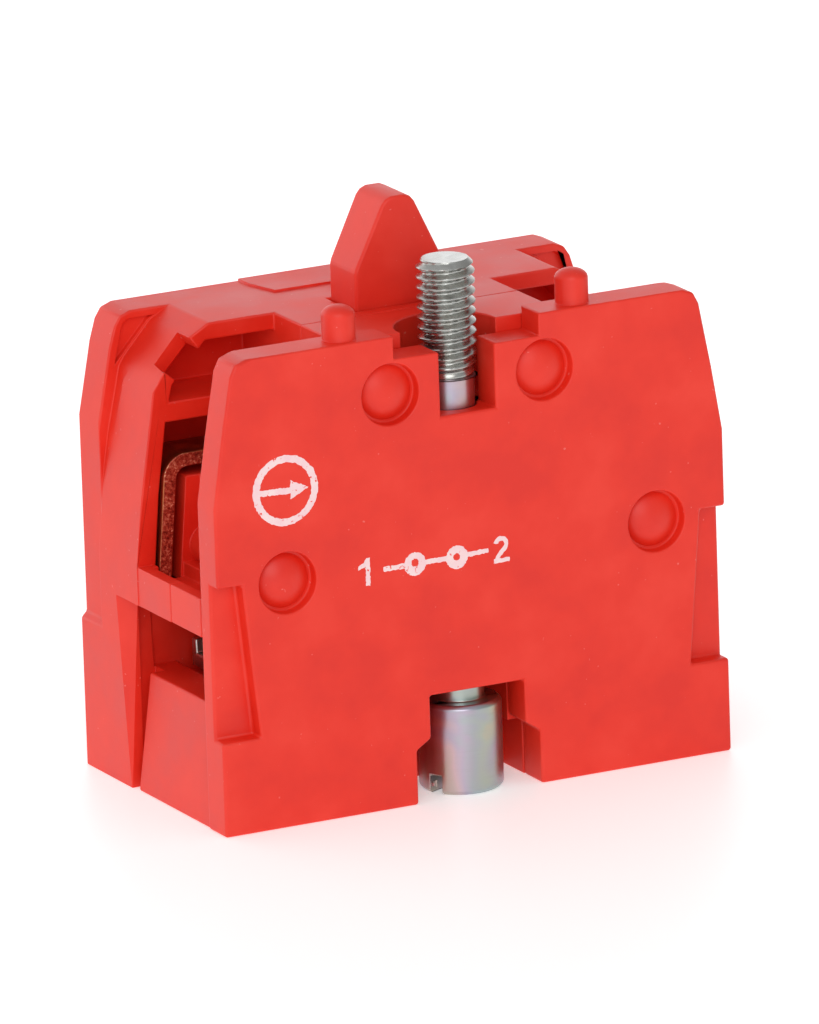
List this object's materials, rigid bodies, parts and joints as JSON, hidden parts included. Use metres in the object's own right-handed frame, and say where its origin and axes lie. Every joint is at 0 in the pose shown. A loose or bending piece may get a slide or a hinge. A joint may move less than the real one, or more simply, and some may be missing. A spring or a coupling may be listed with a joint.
{
  "type": "contact block",
  "caption": "Normally closed contact block of an emergency stop button: spring-returned plunger, contact bridge, screw terminals and a captive fixing screw in a red moulded case.",
  "frame": {"origin": "centre of the bounding box's footprint, on the base plane", "axes": "+X from the left terminal to the right one, seen from the front cover; +Y from the cover to the back; +Z from the base to the plunger"},
  "size_m": [0.0386, 0.0216, 0.04],
  "materials": {
    "red_polyamide": "satin moulded polyamide",
    "zinc_plated_steel": "bright zinc plating with a faint iridescent passivation",
    "spring_steel": "drawn stainless spring wire",
    "copper_alloy": "stamped copper alloy strip, dull rolled faces and brighter sheared edges",
    "contact_silver": "fine silver contact rivet, slightly dulled"
  },
  "bodies": {
    "case": {"housing": "red_polyamide", "inner_frame": "red_polyamide", "cover": "red_polyamide", "fixed_contact_left": "copper_alloy", "fixed_contact_right": "copper_alloy", "fixed_tip_left": "contact_silver", "fixed_tip_right": "contact_silver", "return_spring": "spring_steel"},
    "plunger": {"plunger": "red_polyamide", "contact_spring": "spring_steel"},
    "bridge": {"bridge": "copper_alloy", "bridge_tip_left": "contact_silver", "bridge_tip_right": "contact_silver"},
    "clamp_left": {"clamp_plate_left": "zinc_plated_steel", "lock_washer_left": "zinc_plated_steel"},
    "clamp_right": {"clamp_plate_right": "zinc_plated_steel", "lock_washer_right": "zinc_plated_steel"},
    "terminal_screw_left": {"terminal_screw_left": "zinc_plated_steel"},
    "terminal_screw_right": {"terminal_screw_right": "zinc_plated_steel"},
    "fixing_screw": {"fixing_screw": "zinc_plated_steel"}
  },
  "joints": [
    {"name": "plunger_slide", "type": "slide", "parent": "case", "child": "plunger", "axis": [0, 0, -1], "range_m": [0, 0.0045], "stiffness_N_per_m": 600, "springref_m": -0.004, "deforming": ["return_spring"]},
    {"name": "bridge_wipe", "type": "slide", "parent": "plunger", "child": "bridge", "axis": [0, 0, 1], "range_m": [0, 0.00091], "deforming": ["contact_spring"]},
    {"name": "clamp_slide_left", "type": "slide", "parent": "case", "child": "clamp_left", "axis": [0, 0, 1], "range_m": [0, 0.0042]},
    {"name": "terminal_turn_left", "type": "hinge", "parent": "clamp_left", "child": "terminal_screw_left", "pos_m": [-0.0106, 0.0002, 0.007], "axis": [0, 0, 1], "range_deg": [0, 2527]},
    {"name": "clamp_slide_right", "type": "slide", "parent": "case", "child": "clamp_right", "axis": [0, 0, 1], "range_m": [0, 0.0042]},
    {"name": "terminal_turn_right", "type": "hinge", "parent": "clamp_right", "child": "terminal_screw_right", "pos_m": [0.0106, 0.0002, 0.007], "axis": [0, 0, 1], "range_deg": [0, 2527]},
    {"name": "fixing_screw_turn", "type": "hinge", "parent": "case", "child": "fixing_screw", "pos_m": [0, -0.0079, 0.003], "axis": [0, 0, 1], "continuous": true}
  ],
  "couplings": [
    {"joint": "bridge_wipe", "follows": "plunger_slide", "ratio": 0.2},
    {"joint": "terminal_turn_left", "follows": "clamp_slide_left", "rad_per_m": 10472},
    {"joint": "terminal_turn_right", "follows": "clamp_slide_right", "rad_per_m": 10472}
  ]
}
